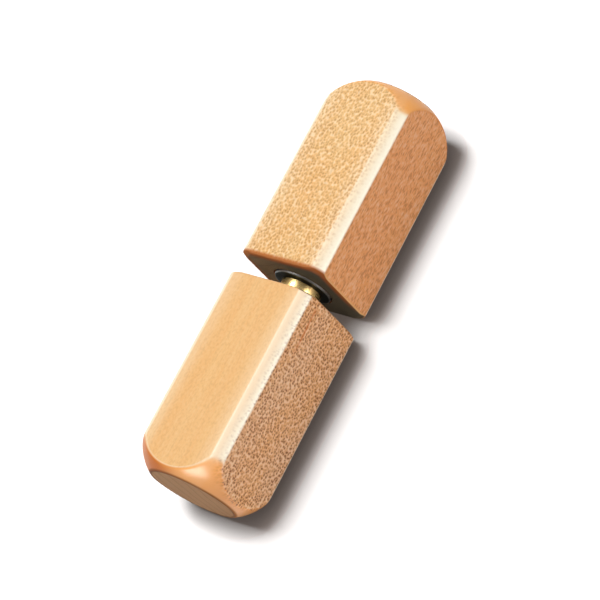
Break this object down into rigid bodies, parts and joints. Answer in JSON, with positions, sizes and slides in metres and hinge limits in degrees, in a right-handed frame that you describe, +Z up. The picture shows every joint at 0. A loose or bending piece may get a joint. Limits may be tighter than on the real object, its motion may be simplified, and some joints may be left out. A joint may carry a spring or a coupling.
{
  "type": "bird call",
  "caption": "Twist-type friction bird call: chamfered hardwood blocks joined by a brass plug that turns and slides in a rosined bore, which squeaks like a bird.",
  "frame": {"origin": "on the surface that the call lies on, midway between the blocks and below the twist axis", "axes": "+X along the twist axis, from the bore block to the twist block; +Z up from the flat that it lies on; -Y the side that the picture shows"},
  "size_m": [0.08, 0.019, 0.019],
  "materials": {
    "maple": "clear satin lacquer",
    "brass": "polished",
    "steel": "dark oiled, rim rubbed bright",
    "rosin": "pressed powder"
  },
  "bodies": {
    "bore_body": {"bore_block": "maple", "rosin_charge": "rosin"},
    "washer_body": {"thrust_washer": "steel"},
    "twist_body": {"twist_block": "maple", "friction_plug": "brass"}
  },
  "joints": [
    {"name": "plug_slide", "type": "slide", "parent": "bore_body", "child": "washer_body", "axis": [1, 0, 0], "range_m": [-0.0033, 0.0215]},
    {"name": "twist", "type": "hinge", "parent": "washer_body", "child": "twist_body", "pos_m": [0, 0, 0.0095], "axis": [1, 0, 0], "continuous": true}
  ]
}
